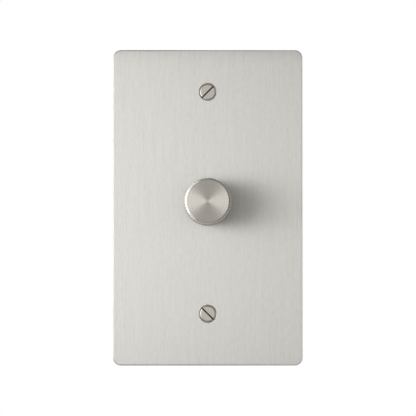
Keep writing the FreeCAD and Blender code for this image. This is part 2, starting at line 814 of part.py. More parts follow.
# Aluminium plate above the transistors
def heat_sink():
    y0 = y_tab_front - transistor_front_gap / 2
    plate = block(-sink_half, sink_half, y0, y_sink_back, z_pad_top, z_sink_top)
    tapped = power_screw_radius + running_fit
    holes = [column(tapped, z_pad_top, z_sink_top, x, y_tab_hole) for x in transistor_places]
    return less(plate, *holes)


# Screws that clamp the transistors' tabs to the heat sink
def power_screws():
    pieces = []
    z_seat = z_transistor_top - transistor_tab_thickness
    for x in transistor_places:
        shank = column(power_screw_radius, z_seat, z_sink_top, x, y_tab_hole)
        head = column(power_screw_head_radius, z_seat - power_screw_head_height, z_seat, x, y_tab_hole)
        pieces.append(joined(shank, head))
    return Part.makeCompound(pieces)


# Ring core of the choke
def choke_core():
    return ring(choke_core_radius, choke_core_hole, y_choke_front, y_choke_back, *choke_place)


# Winding round most of the core, with two ends that go to the board
def choke_winding():
    y0 = y_choke_front - choke_wire
    y1 = y_choke_back + choke_wire
    outer = sector(choke_radius, choke_core_hole - choke_wire, y0, y1, choke_wound_angle)
    core = ring(choke_core_radius, choke_core_hole, y_choke_front, y_choke_back)
    coil = outer.cut(core)
    coil.translate(V(choke_place[0], 0, choke_place[1]))
    ends = [tail(choke_wire / 2, x, z, y0 + choke_wire / 2) for x, z in choke_pins]
    return joined(coil, *ends)


# Suppression capacitor in a moulded box
def film_capacitor():
    body = block(film_low_x, film_low_x + film_width, y_board_back, y_board_back + film_height,
                 film_low_z, film_low_z + film_length)
    return joined(body, *pins_of(film_pins))


# Electrolytic capacitor standing on the board
def storage_capacitor():
    body = bar(storage_radius, y_board_back, y_board_back + storage_height, *storage_place)
    return joined(body, *pins_of(storage_pins))


# Wire-ended fuse lying on the board
def fuse():
    far, near = fuse_pins
    z = far[1]
    y = y_board_back + fuse_radius
    barrel = Part.makeCylinder(fuse_radius - close_gap, fuse_length, V(fuse_far, y, z), RIGHT)
    caps = []
    for x in (fuse_far, fuse_near - fuse_cap_length):
        caps.append(Part.makeCylinder(fuse_radius, fuse_cap_length, V(x, y, z), RIGHT))
    wire = Part.makeCylinder(fuse_lead_radius - close_gap, near[0] - far[0], V(far[0], y, z), RIGHT)
    legs = [tail(fuse_lead_radius, x, z, y + fuse_lead_radius) for x in (far[0], near[0])]
    return joined(barrel, wire, *caps, *legs)


# Body of the adjuster that sets the lowest brightness
def trimmer_base():
    x, z = trimmer_place
    half = trimmer_width / 2
    y_top = y_board_back + trimmer_base_height
    body = block(x - half, x + half, y_board_back, y_top, z - half, z + half)
    socket = bar(trimmer_radius / 2 + running_fit, y_top - trimmer_base_height / 2, y_top, x, z)
    return joined(body, *pins_of(trimmer_pins)).cut(socket)


# Slotted stem of the adjuster, reached from behind through the cover
def trimmer_rotor():
    x, z = trimmer_place
    y_foot = y_board_back + trimmer_base_height + close_gap
    y_end = y_cover_back - trimmer_sink
    spigot = bar(trimmer_radius / 2, y_foot - trimmer_base_height / 2, y_foot, x, z)
    stem = bar(trimmer_radius, y_foot, y_end, x, z)
    half = trimmer_slot / 2
    reach = 2 * trimmer_radius
    slot = block(x - half, x + half, y_end - trimmer_slot, y_end, z - reach, z + reach)
    return joined(spigot, stem).cut(slot)


# Moulded block with one bay, one wire entry and one screw hole for each terminal
def terminal_block():
    body = block(-terminal_half, terminal_half, y_board_back, y_cover_back, -case_high, terminal_high)
    tools = []
    half = terminal_entry / 2
    room = cage_half + close_gap
    for x in terminal_places:
        tools.append(block(x - room, x + room, y_board_back, y_cage_back + close_gap,
                           z_cage_low - close_gap, z_cage_high + close_gap))
        tools.append(block(x - half, x + half, y_entry_front, y_entry_back, -case_high, z_cage_low))
        tools.append(bar(terminal_head_radius + close_gap, y_cage_back, y_cover_back, x, terminal_up))
    return less(body, *tools)


# Brass cages that the wires enter from below
def terminal_cages():
    cages = []
    half = terminal_entry / 2
    for x in terminal_places:
        cage = block(x - cage_half, x + cage_half, y_cage_front, y_cage_back, z_cage_low, z_cage_high)
        way = block(x - half, x + half, y_entry_front, y_entry_back, z_cage_low, z_cage_high)
        tapping = bar(terminal_screw_radius + running_fit, y_entry_back, y_cage_back, x, terminal_up)
        leg = tail(lead_width / 2, x, terminal_up, y_cage_front)
        cages.append(joined(cage, leg).cut([way, tapping]))
    return Part.makeCompound(cages)


# Slotted screws that clamp the wires in the cages
def terminal_screws():
    screws = []
    z = terminal_up
    y_seat = y_cage_back + free_gap
    half_slot = screw_slot_width / 2
    y_slot = y_head_back - terminal_head_height / 2
    for x in terminal_places:
        shank = bar(terminal_screw_radius, y_entry_back - terminal_tip, y_seat, x, z)
        head = bar(terminal_head_radius, y_seat, y_head_back, x, z)
        reach = 2 * terminal_head_radius
        slot = block(x - reach, x + reach, y_slot, y_head_back, z - half_slot, z + half_slot)
        screws.append(joined(shank, head).cut(slot))
    return Part.makeCompound(screws)


# Tapped brass post fixed to the back of the plate
def earth_post():
    y_end = y_plate_back + earth_post_length
    post = bar(earth_post_radius, y_plate_back, y_end, earth_across, earth_up)
    y_hole = y_end - earth_screw_bite - free_gap
    return post.cut(bar(earth_screw_radius + running_fit, y_hole, y_end, earth_across, earth_up))


# Cupped washer under the earth screw's head
def earth_washer():
    y0 = y_plate_back + earth_post_length
    y1 = y0 + earth_washer_thickness
    return ring(earth_post_radius, earth_screw_radius + close_gap, y0, y1, earth_across, earth_up)


# Slotted screw of the earth terminal
def earth_screw():
    y_seat = y_plate_back + earth_post_length + earth_washer_thickness
    y_top = y_seat + earth_head_height
    y_tip = y_seat - earth_washer_thickness - earth_screw_bite
    shank = bar(earth_screw_radius, y_tip, y_seat, earth_across, earth_up)
    head = bar(earth_head_radius, y_seat, y_top, earth_across, earth_up)
    reach = 2 * earth_head_radius
    half_slot = screw_slot_width / 2
    slot = block(earth_across - reach, earth_across + reach, y_top - earth_head_height / 2, y_top,
                 earth_up - half_slot, earth_up + half_slot)
    return joined(shank, head).cut(slot)


makers = [face_plate, plate_gasket, plate_screws, knob, knob_set_screw, control_shaft, shaft_clip]
makers += [threaded_bush, bush_nut, lock_washer, pot_case, wiper_carrier, wiper_spring, track_wafer]
makers += [track_terminals, switch_case, switch_base, switch_plunger, moving_contact, fixed_contacts]
makers += [switch_spring, front_case, rear_cover, case_screws, circuit_board, power_transistors]
makers += [insulating_pads, heat_sink, power_screws, choke_core, choke_winding, film_capacitor]
makers += [storage_capacitor, fuse, trimmer_base, trimmer_rotor, terminal_block, terminal_cages]
makers += [terminal_screws, earth_post, earth_washer, earth_screw]

os.makedirs("parts", exist_ok=True)
for maker in makers:
    shape = maker()
    shape.exportStep("parts/" + maker.__name__ + ".step")
    print(maker.__name__, shape.ShapeType, len(shape.Solids), round(shape.Volume, 2), shape.isValid())
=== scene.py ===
# %% [markdown]
# # A rotary dimmer in brushed steel
# The part is a tall metal wall plate with two slotted screws and a knurled push knob, and a control
# module behind it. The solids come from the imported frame. This lesson gives them their metals and
# plastics, gives the screws their threads, winds the spring and the choke, and sets the light and the
# camera of the photograph.

# %% Load the frame
import math

import bpy
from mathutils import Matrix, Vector


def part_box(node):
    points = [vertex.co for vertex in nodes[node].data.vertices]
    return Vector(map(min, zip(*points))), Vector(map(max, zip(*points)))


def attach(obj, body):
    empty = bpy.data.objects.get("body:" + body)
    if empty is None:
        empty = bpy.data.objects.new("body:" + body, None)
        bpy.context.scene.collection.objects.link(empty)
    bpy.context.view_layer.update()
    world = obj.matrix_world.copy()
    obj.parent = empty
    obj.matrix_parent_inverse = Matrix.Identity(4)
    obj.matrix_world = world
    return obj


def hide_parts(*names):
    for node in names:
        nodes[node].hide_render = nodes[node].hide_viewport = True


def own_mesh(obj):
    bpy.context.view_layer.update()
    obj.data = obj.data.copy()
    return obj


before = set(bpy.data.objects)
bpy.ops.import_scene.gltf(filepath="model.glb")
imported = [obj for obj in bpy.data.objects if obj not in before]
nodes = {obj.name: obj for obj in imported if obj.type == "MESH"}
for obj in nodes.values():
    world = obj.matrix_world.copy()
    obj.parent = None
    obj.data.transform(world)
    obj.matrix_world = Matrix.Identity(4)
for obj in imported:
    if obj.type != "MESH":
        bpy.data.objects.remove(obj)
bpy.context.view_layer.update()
MM = 0.001

# %% [markdown]
# ## Helpers for materials
# A material is a tree of nodes. It could be put together by hand in the shader editor, but a short script
# can be read, repeated and changed in one place. A colour is written as the hex code of the finished
# surface, and one function turns it into linear light. A second function adds a node, sets its options,
# and fills its sockets with numbers or with links. Every finish starts from the same three nodes: shader,
# output and the object's own coordinates, in metres.

# %% Colour and node helpers
def linear(code):
    parts = [int(code[k:k + 2], 16) / 255 for k in (0, 2, 4)]
    return [c / 12.92 if c <= 0.04045 else ((c + 0.055) / 1.055) ** 2.4 for c in parts] + [1.0]


def add(tree, kind, sockets=None, **options):
    made = tree.nodes.new(kind)
    for name, value in options.items():
        setattr(made, name, value)
    for name, value in (sockets or {}).items():
        if isinstance(value, bpy.types.NodeSocket):
            tree.links.new(value, made.inputs[name])
        else:
            made.inputs[name].default_value = value
    return made


def new_material(name, **constants):
    material = bpy.data.materials.new(name)
    material.use_nodes = True
    tree = material.node_tree
    tree.nodes.clear()
    sockets = {word.replace("_", " "): value for word, value in constants.items()}
    shader = add(tree, "ShaderNodeBsdfPrincipled", sockets)
    add(tree, "ShaderNodeOutputMaterial", {"Surface": shader.outputs["BSDF"]})
    where = add(tree, "ShaderNodeTexCoord").outputs["Object"]
    return material, tree, shader, where


print("white is", linear("FFFFFF")[:3])

# %% [markdown]
# ## Grain, tone and relief
# Real surfaces are never one flat colour. An image could show that, but it needs a file and blurs close
# up, so every finish here is a pattern that Blender computes. Most share a recipe: a noise of a size
# given in millimetres, which may be drawn out along one axis, moves the tone between two colours and the
# roughness between two values. A bump takes its height in millimetres from the same noise or from another
# one.

# %% Shared recipe
def even(side):
    return (side, side, side)


def noise(tree, where, size, detail=2.0):
    scale = [1 / (side * MM) for side in size]
    space = add(tree, "ShaderNodeMapping", {"Vector": where, "Scale": scale})
    sockets = {"Vector": space.outputs[0], "Scale": 1.0, "Detail": detail}
    return add(tree, "ShaderNodeTexNoise", sockets).outputs["Fac"]


def vary(tree, shader, grain, tones, roughness):
    sockets = {"Factor": grain, "A": linear(tones[0]), "B": linear(tones[1])}
    mix = add(tree, "ShaderNodeMix", sockets, data_type="RGBA")
    tree.links.new(mix.outputs["Result"], shader.inputs["Base Color"])
    limits = {"Value": grain, "To Min": roughness[0], "To Max": roughness[1]}
    spread = add(tree, "ShaderNodeMapRange", limits)
    tree.links.new(spread.outputs[0], shader.inputs["Roughness"])


def relief(tree, shader, height, depth):
    bump = add(tree, "ShaderNodeBump", {"Height": height, "Distance": depth * MM, "Strength": 1.0})
    tree.links.new(bump.outputs[0], shader.inputs["Normal"])


def wear(material, *names):
    for name in names:
        mesh = nodes[name].data
        mesh.materials.clear()
        mesh.materials.append(material)
    print(material.name, "on", ", ".join(names))


print("a grain of 0.5 mm gives a scale of", round(1 / (0.5 * MM)), "per metre")

# %% [markdown]
# ## Brushed plate
# The plate is stainless steel rubbed from top to bottom with an abrasive belt. To the eye that is a pale,
# faintly warm grey with fine upright lines and a soft sheen. The scratches could be cut into the mesh,
# but there are thousands of them, so they are left to the shader. They run up and down, so light spreads
# sideways and stays narrow up and down: that is an anisotropic metal whose tangent lies across the grain.
# Two noises drawn out along the grain give scratches and broader streaks. Real scratches are a few
# hundredths of a millimetre wide, which is too fine to show, so they are drawn 0.28 mm wide.

# %% Plate steel
scratch = (0.28, 0.28, 2.4)
streak = (0.9, 0.9, 16.0)
streak_share = 0.34
plate_steel, tree, shader, where = new_material("stainless_steel_brushed", Metallic=1.0, Anisotropic=0.95)
brushing = {"Factor": streak_share, "A": noise(tree, where, scratch), "B": noise(tree, where, streak)}
grain = add(tree, "ShaderNodeMix", brushing).outputs["Result"]
vary(tree, shader, grain, ("C8C7C3", "EFEEEA"), (0.49, 0.61))
across = add(tree, "ShaderNodeTangent", direction_type="RADIAL", axis="Z")
tree.links.new(across.outputs[0], shader.inputs["Tangent"])
print("scratches of", scratch, "mm and streaks of", streak, "mm")

# %% [markdown]
# The belt rolls a little over the top edge and wears it, which gives the plate a darker margin there. The
# wear is about a tenth of a millimetre deep and five wide. That is too little to model, so it is a very
# low bump, which grows with the square of the height within the margin.

# %% Worn top edge
plate_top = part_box("face_plate")[1].z
worn_width = 5 * MM
worn_depth = 0.12
height = add(tree, "ShaderNodeSeparateXYZ", {0: where}).outputs["Z"]
limits = {"Value": height, "From Min": plate_top - worn_width, "From Max": plate_top}
margin = add(tree, "ShaderNodeMapRange", limits)
rolled = add(tree, "ShaderNodeMath", {0: margin.outputs[0], 1: 2.0}, operation="POWER")
relief(tree, shader, rolled.outputs[0], -worn_depth)
wear(plate_steel, "face_plate")

# %% [markdown]
# ## Face of the knob
# The knob is turned from bar, and its flat face keeps the fine rings of the facing cut. They spread light
# along the radius, so a lamp at the side draws a bright bow-tie through the centre. Rings cut into the
# mesh would need very many faces; an anisotropic metal gives the bow-tie at once. Its tangent runs round
# the axis, and a quarter of a turn points it along the radius. Real rings are about a tenth of a
# millimetre apart, too fine to show, so the tone changes over half a millimetre.

# %% Turned face
ring_size = 0.5
quarter_turn = 0.25
knob_low, knob_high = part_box("knob")


def from_axis(tree, where):
    spot = add(tree, "ShaderNodeSeparateXYZ", {0: where})
    flat = add(tree, "ShaderNodeCombineXYZ", {"X": spot.outputs["X"], "Z": spot.outputs["Z"]})
    return add(tree, "ShaderNodeVectorMath", {0: flat.outputs[0]}, operation="LENGTH").outputs["Value"]


face_steel, tree, shader, where = new_material("stainless_steel_faced", Metallic=1.0, Anisotropic=0.9,
                                               Anisotropic_Rotation=quarter_turn)
sockets = {"W": from_axis(tree, where), "Scale": 1 / (ring_size * MM), "Detail": 3.0}
rings = add(tree, "ShaderNodeTexNoise", sockets, noise_dimensions="1D")
vary(tree, shader, rings.outputs["Fac"], ("BBB6AF", "D6D2CA"), (0.46, 0.54))
around = add(tree, "ShaderNodeTangent", direction_type="RADIAL", axis="Y")
tree.links.new(around.outputs[0], shader.inputs["Tangent"])
print("rings of", ring_size, "mm on a knob", round(2 * knob_high.x / MM, 1), "mm across")

# %% [markdown]
# ## Side of the knob
# The bevel and the collars are polished, so they mirror the lamps as clear light and dark bands. The ends
# of the knurl are matt, and their light tone is a painted highlight on the tooth ends. The knurl itself
# has bright tips, and its grooves are painted dark: partly a film that no cloth reaches, partly painted
# shade that falls in them. The dark could be painted face by face, but here its tone follows the distance
# from the axis, which finds every groove by itself. Polish is too fine to show, so its clouds are 0.4 mm
# wide.

# %% Polished, cut and knurled steel
polish_cloud = even(0.4)
film_and_shade_cloud = even(0.3)
film_and_shade_change, film_and_shade_least = 0.5, 0.75
tip_radius = knob_high.x
knurl_depth = 0.46 * MM
groove_radius = tip_radius - knurl_depth

bevel_steel, tree, shader, where = new_material("stainless_steel_polished", Metallic=1.0)
vary(tree, shader, noise(tree, where, polish_cloud), ("B2AFAA", "BFBCB7"), (0.20, 0.26))

# The knurl's ends are matt, and their light tone is a painted highlight
knurl_end_steel_painted_light, tree, shader, where = new_material("stainless_steel_knurl_ends_painted_light", Metallic=1.0)
vary(tree, shader, noise(tree, where, polish_cloud), ("E6E3DD", "F4F1EB"), (0.60, 0.70))

knurl_steel, tree, shader, where = new_material("stainless_steel_knurled", Metallic=1.0)
limits = {"Value": from_axis(tree, where), "From Min": groove_radius, "From Max": tip_radius}
tips = add(tree, "ShaderNodeMapRange", limits)
patches = {0: noise(tree, where, film_and_shade_cloud), 1: film_and_shade_change, 2: film_and_shade_least}
patchy = add(tree, "ShaderNodeMath", patches, operation="MULTIPLY_ADD")
rubbed_tips_shaded_grooves = add(tree, "ShaderNodeMath", {0: tips.outputs[0], 1: patchy.outputs[0]}, operation="MULTIPLY")
# The near-black in the grooves is partly film and partly painted shade; the tips keep the bright steel
vary(tree, shader, rubbed_tips_shaded_grooves.outputs[0], ("1E1C1A", "E8E3DC"), (0.45, 0.30))
print("knurl from", round(groove_radius / MM, 2), "to", round(tip_radius / MM, 2), "mm from the axis")

# %% [markdown]
# The knob is one solid, so its finishes are slots of one mesh. They could be given by hand in edit mode,
# but a rule holds for every face: beyond the grooves it belongs to the knurl, or to an end of it if it
# looks along the axis, and the faced part is the foremost flat. All the rest is polished.

# %% Faces of the knob
skin = 0.05 * MM
endwise = 0.6
knob_mesh = nodes["knob"].data
knob_mesh.materials.clear()
for steel in (knurl_steel, knurl_end_steel_painted_light, face_steel, bevel_steel):
    knob_mesh.materials.append(steel)
knurled, knurl_end_painted_light, faced, polished = range(4)
counts = [0, 0, 0, 0]
for polygon in knob_mesh.polygons:
    middle, along = polygon.center, polygon.normal.y
    if math.hypot(middle.x, middle.z) > groove_radius - skin:
        finish = knurl_end_painted_light if abs(along) > endwise else knurled
    elif along < -endwise and middle.y < knob_low.y + skin:
        finish = faced
    else:
        finish = polished
    polygon.material_index = finish
    counts[finish] += 1
print("knob faces: knurled %d, cut %d, faced %d, polished %d" % tuple(counts))

# %% [markdown]
# ## Screws, springs and contacts
# The plate's screws are polished stainless steel, the small screws are zinc plated, the springs are drawn
# wire and the contacts are stamped brass. Each could have a tree of its own, but they differ only in
# tone, gloss and size of grain, so one function makes them all. Their real grains are too fine to show
# and are drawn some tenths of a millimetre wide.

# %% Steel, zinc and brass
def metal(name, tones, roughness, size, depth=0.0):
    material, tree, shader, where = new_material(name, Metallic=1.0)
    grain = noise(tree, where, size)
    vary(tree, shader, grain, tones, roughness)
    if depth:
        relief(tree, shader, grain, depth)
    return material


# Polished screw steel looks a warm grey and shines softly
screw_steel = metal("stainless_steel_screw", ("AAA49D", "C4BEB6"), (0.30, 0.42), even(0.5), depth=0.006)
# A sawn slot is painted dark brown and dull, as painted shade, so the slot reads as a line
slot_painted_shade = metal("painted_shade_in_slot", ("2E2A27", "3E3934"), (0.55, 0.70), even(0.2), depth=0.01)
# Zinc plate looks pale and bluish, and is a little cloudy
zinc_plate = metal("zinc_plated_steel", ("AFB3B8", "C9CCCF"), (0.24, 0.38), even(0.8), depth=0.006)
# Drawn wire looks a darker grey, with a narrow bright line along it
spring_steel = metal("spring_steel_drawn", ("85888C", "A2A4A7"), (0.25, 0.36), even(0.2))
# Stamped brass looks yellow, warm and smooth
brass = metal("brass_stamped", ("BE9A50", "D6B870"), (0.22, 0.36), even(0.7), depth=0.004)
wear(screw_steel, "plate_screws")
wear(zinc_plate, "power_screws", "earth_washer", "case_screws", "terminal_screws", "earth_screw")
wear(spring_steel, "shaft_clip", "lock_washer", "switch_spring")
wear(brass, "wiper_spring", "track_terminals", "moving_contact", "fixed_contacts")
wear(brass, "terminal_cages", "earth_post")

# %% [markdown]
# ## Shaft, bush and heat sink
# The bush and its nut are nickel-plated brass, the shaft is turned aluminium, the heat sink is rolled
# sheet, the knob's set screw is blacked steel and the choke's wire is enamelled copper. The same function
# serves. Turning leaves rings round the shaft and rolling leaves lines along the sheet, so there the
# noise is drawn out that way.

# %% Nickel, aluminium, black oxide and copper
turning_rings = (4.0, 0.12, 4.0)
rolling_lines = (8.0, 0.2, 0.2)
# Nickel plate looks faintly yellow and shiny
nickel = metal("nickel_plated_brass", ("BFB9A8", "D3CDBE"), (0.18, 0.28), even(0.6))
wear(nickel, "threaded_bush", "bush_nut")
# Turned aluminium looks pale, with fine rings
turned_bar = metal("aluminium_turned", ("BFC1C3", "D2D3D5"), (0.28, 0.40), turning_rings, depth=0.002)
wear(turned_bar, "control_shaft")
# Rolled aluminium looks pale and a little duller, with straight lines
rolled_sheet = metal("aluminium_rolled", ("B9BBBD", "CFD0D2"), (0.32, 0.46), rolling_lines, depth=0.003)
wear(rolled_sheet, "heat_sink")
# Black oxide looks nearly black, with a low gloss
black_oxide = metal("steel_black_oxide", ("1E1E20", "303033"), (0.35, 0.50), even(0.4))
wear(black_oxide, "knob_set_screw")
# Enamelled copper looks orange-brown and glossy
enamelled_copper = metal("copper_enamelled", ("8E4A22", "B06430"), (0.16, 0.26), even(0.8))
wear(enamelled_copper, "choke_winding")

# %% [markdown]
# ## Plastics of the module
# Moulded plastic takes the skin of its mould. The housing's was spark-eroded, which leaves a fine pebbled
# matt; the terminal block and the switch are smoother. The pebbles could be displaced in the mesh, but
# they are only hundredths of a millimetre high, so a bump is enough. One function makes each plastic: a
# small noise for the pebbles, and a larger soft one that lets the colour drift a little.

# %% Moulded pieces
colour_drift = even(5.0)


def moulded(name, tones, roughness, pebble=0.25, depth=0.01, **constants):
    material, tree, shader, where = new_material(name, **constants)
    vary(tree, shader, noise(tree, where, colour_drift), tones, roughness)
    relief(tree, shader, noise(tree, where, even(pebble)), depth)
    return material


# Spark-eroded polycarbonate looks pale grey, with a soft even sheen
housing = moulded("polycarbonate_pale_grey", ("C9CAC8", "D6D7D5"), (0.44, 0.54),
                  pebble=0.3, depth=0.03, IOR=1.585)
wear(housing, "front_case", "rear_cover")
# Filled polyamide looks charcoal and slightly rough
charcoal = moulded("polyamide_charcoal", ("2A2B2D", "35363A"), (0.40, 0.50),
                   pebble=0.25, depth=0.015, IOR=1.53)
wear(charcoal, "terminal_block")
# Polyester looks black, with a satin gloss
black = moulded("polyester_black", ("1B1C1E", "25262A"), (0.42, 0.52), IOR=1.57)
wear(black, "pot_case", "switch_case", "switch_base")
# Acetal looks ivory, with a waxy sheen
ivory = moulded("acetal_ivory", ("DDD9CC", "E8E5DA"), (0.30, 0.38),
                pebble=0.5, depth=0.004, IOR=1.48)
wear(ivory, "wiper_carrier", "switch_plunger")

# %% [markdown]
# ## Bodies of the components
# The components on the board are moulded, dipped, sleeved or glazed. They could all be black boxes, but
# their colours and gloss tell a maker what they are: matt black epoxy, glossy red film, a shrunk sleeve,
# cream glaze. The function for plastics covers them too, with a coarser or finer pebble for each.

# %% Components
# Epoxy looks black and matt, from its filler
epoxy = moulded("epoxy_moulding", ("161718", "202123"), (0.50, 0.62),
                pebble=0.15, depth=0.012, IOR=1.55)
wear(epoxy, "power_transistors")
# Blue polyester looks smooth and half glossy
wear(moulded("polyester_blue", ("1F3F8C", "2A4FA3"), (0.28, 0.36), IOR=1.57), "trimmer_base")
# White polyamide looks a little duller than the blue base
wear(moulded("polyamide_white", ("E2E2DE", "EDEDEA"), (0.34, 0.42), IOR=1.53), "trimmer_rotor")
# Red polyester looks glossy, with slow waves
film = moulded("polyester_red", ("8E2019", "A32B22"), (0.22, 0.30),
               pebble=0.6, depth=0.004, IOR=1.57)
wear(film, "film_capacitor")
# A vinyl sleeve looks dark and shiny, drawn tight by heat
sleeve = moulded("vinyl_sleeve", ("1D2230", "272D3D"), (0.20, 0.28),
                 pebble=0.8, depth=0.006, IOR=1.54)
wear(sleeve, "storage_capacitor")
# Glazed steatite looks cream, with a wet gloss
glaze = moulded("steatite_glazed", ("DDD8CB", "E9E5DA"), (0.14, 0.22),
                pebble=1.2, depth=0.006, IOR=1.6)
wear(glaze, "fuse")
# Silicone looks grey and rubbery, with hardly any gloss
pad = moulded("silicone_pad", ("8E9195", "A0A3A6"), (0.62, 0.74),
              pebble=0.2, depth=0.01, IOR=1.43)
wear(pad, "insulating_pads")
# Enamel over pressed powder looks mustard yellow and grainy
enamel = moulded("enamel_on_powder_core", ("B79A2A", "C9AC38"), (0.40, 0.52),
                 pebble=0.35, depth=0.03, IOR=1.5)
wear(enamel, "choke_core")

# %% [markdown]
# ## Tinned leads
# A component on the board is one piece to whoever handles it, but its leads are tin-plated copper and so
# are the transistors' tabs and the fuse's caps. They could be pieces of their own; a second material on
# the same solid is simpler and leaves no seam. The faces are sorted by place: what lies in the board or
# before it, before or behind the transistor's moulding, or close to the fuse's ends.

# %% Leads, tabs and caps
# Tin plate looks silvery white, a little cloudy
tin_plate = metal("tin_plated_copper", ("B4B3AF", "CFCECA"), (0.26, 0.40), even(0.4))
tab_length, moulding_end = 6 * MM, 15 * MM
cap_end = 3.6 * MM


def tin(node, bare):
    mesh = nodes[node].data
    mesh.materials.append(tin_plate)
    found = [polygon for polygon in mesh.polygons if bare(polygon.center)]
    for polygon in found:
        polygon.material_index = 1
    print(node, "has", len(found), "tinned faces of", len(mesh.polygons))


board_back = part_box("circuit_board")[1].y
for name in ("film_capacitor", "storage_capacitor", "trimmer_base"):
    tin(name, lambda place: place.y < board_back - skin)
tab_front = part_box("power_transistors")[0].y
moulding_front, moulding_back = tab_front + tab_length, tab_front + moulding_end
tin("power_transistors", lambda place: not moulding_front - skin < place.y < moulding_back + skin)
fuse_low, fuse_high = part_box("fuse")
tin("fuse", lambda place: min(place.x - fuse_low.x, fuse_high.x - place.x) < cap_end)

# %% [markdown]
# ## Gasket
# The gasket is closed-cell foam, which looks dark and dull and has a field of small dents for a skin.
# Dents in the mesh would need many faces for each cell, so a Voronoi cell pattern serves as a bump.

# %% Gasket foam
foam_cell = 0.5
foam, tree, shader, where = new_material("foam_closed_cell", IOR=1.45)
vary(tree, shader, noise(tree, where, even(2.0)), ("3A3B3C", "4A4B4C"), (0.82, 0.92))
cells = add(tree, "ShaderNodeTexVoronoi", {"Vector": where, "Scale": 1 / (foam_cell * MM)})
relief(tree, shader, cells.outputs["Distance"], depth=0.15)
wear(foam, "plate_gasket")

# %% [markdown]
# ## Circuit board and wafer
# The circuit board is woven glass under green lacquer. It looks glossy, and the weave shows as a faint
# grid; two crossing waves give that with less work than a woven mesh. The track's wafer is brown paper
# laminate, which looks half matt and shows fibres that lie flat, so its noise is thin through the sheet
# and drawn out along it.

# %% Board and wafer
strand_width = 0.6
# At a scale of 1, a Wave texture repeats every 0.31 units
wave_repeat = 0.31
lacquer, tree, shader, where = new_material("glass_laminate_lacquered", IOR=1.5, Coat_Weight=0.4,
                                            Coat_Roughness=0.15)
vary(tree, shader, noise(tree, where, even(3.0)), ("1C5433", "256440"), (0.32, 0.42))
sockets = {"Vector": where, "Scale": wave_repeat / (strand_width * MM)}
waves = [add(tree, "ShaderNodeTexWave", sockets, bands_direction=way) for way in ("X", "Z")]
warp, weft = [wave.outputs["Fac"] for wave in waves]
weave = add(tree, "ShaderNodeMath", {0: warp, 1: weft}, operation="ADD")
relief(tree, shader, weave.outputs[0], depth=0.008)
wear(lacquer, "circuit_board")

fibre = (1.5, 0.1, 0.15)
paper, tree, shader, where = new_material("paper_laminate_brown", IOR=1.55)
fibres = noise(tree, where, fibre, detail=4.0)
vary(tree, shader, fibres, ("6B4022", "8A5830"), (0.38, 0.50))
relief(tree, shader, fibres, depth=0.008)
wear(paper, "track_wafer")

# %% [markdown]
# ## Selecting and settling
# Operators act on what is selected, and loading leaves the solids selected, so each step first selects
# one object, or the faces that it needs. A new piece could keep its own origin and turn, but the solids
# have theirs at zero, so every piece is settled: its place goes into its mesh.

# %% Selecting and settling
def only(*pieces):
    bpy.ops.object.select_all(action="DESELECT")
    for piece in pieces:
        piece.select_set(True)
    bpy.context.view_layer.objects.active = pieces[0]


def settled(name):
    piece = bpy.context.object
    piece.name = name
    bpy.ops.object.transform_apply(location=True, rotation=True, scale=True)
    return piece


def closed_outward():
    bpy.ops.mesh.select_all(action="SELECT")
    bpy.ops.mesh.normals_make_consistent(inside=False)
    bpy.ops.object.mode_set(mode="OBJECT")


print(len(bpy.context.selected_objects), "objects were left selected by loading")

# %% [markdown]
# ## Turned blanks
# A screw's blank and a straight lead are round and change width in steps. They could be made of stacked
# cylinders, but then they would have walls inside. Here a blank starts as a filled circle and grows as on
# a lathe: the face is extruded along the axis and resized, ring after ring of a profile.

# %% Turned blanks
blank_sides = 48


def turned(name, profile, sides=blank_sides):
    radius, depth = profile[0]
    bpy.ops.object.select_all(action="DESELECT")
    bpy.ops.mesh.primitive_circle_add(vertices=sides, radius=radius * MM, fill_type="NGON",
                                      location=(0, depth * MM, 0), rotation=(math.pi / 2, 0, 0))
    piece = settled(name)
    bpy.ops.object.mode_set(mode="EDIT")
    bpy.ops.mesh.select_all(action="SELECT")
    for next_radius, next_depth in profile[1:]:
        move = {"value": (0, (next_depth - depth) * MM, 0)}
        bpy.ops.mesh.extrude_region_move(TRANSFORM_OT_translate=move)
        grow = next_radius / radius
        bpy.ops.transform.resize(value=(grow, 1, grow), center_override=(0, next_depth * MM, 0))
        radius, depth = next_radius, next_depth
    closed_outward()
    return piece


print("a rim of 3 mm is round to", round(3 * (1 - math.cos(math.pi / blank_sides)), 3), "mm")

# %% [markdown]
# ## Helices
# A thread is a triangular ridge and a spring is a round wire, both wound about an axis. A bevelled curve
# could follow a spiral of many points. The Screw modifier needs only the section, drawn once beside the
# axis, which it sweeps round and along. The two open ends are then filled, so that the mesh is closed.

# %% Helices
helix_steps = 32


def helix(name, section, radius, start, pitch, turns, steps=helix_steps):
    sides, deep, wide = section
    middle = (radius * MM, start * MM, 0)
    bpy.ops.object.select_all(action="DESELECT")
    bpy.ops.mesh.primitive_circle_add(vertices=sides, radius=MM, location=middle,
                                      rotation=(0, 0, -math.pi / 2))
    piece = settled(name)
    bpy.ops.object.mode_set(mode="EDIT")
    bpy.ops.mesh.select_all(action="SELECT")
    bpy.ops.transform.resize(value=(deep, wide, 1), center_override=middle)
    bpy.ops.object.mode_set(mode="OBJECT")
    sweep = piece.modifiers.new("sweep", "SCREW")
    sweep.axis = "Y"
    sweep.screw_offset = pitch * MM
    sweep.iterations = turns
    sweep.steps = sweep.render_steps = steps
    bpy.ops.object.modifier_apply(modifier="sweep")
    bpy.ops.object.mode_set(mode="EDIT")
    bpy.ops.mesh.select_all(action="SELECT")
    bpy.ops.mesh.fill_holes(sides=sides)
    closed_outward()
    return piece


print("one turn of a thread has", 3 * helix_steps, "faces")

# %% [markdown]
# ## Slots
# A slot is sawn across a screw's head. It could be drawn as a dark stripe, but a real one breaks the
# head's outline and catches light on its edges, so a bar is taken out with a Boolean. The faces that lie
# inside the bar get a second material, painted dark as painted shade in the slot.

# %% Sawn slot
# Margins in millimetres that tell which faces lie inside the bar
hair = 0.01
under_top = 0.05


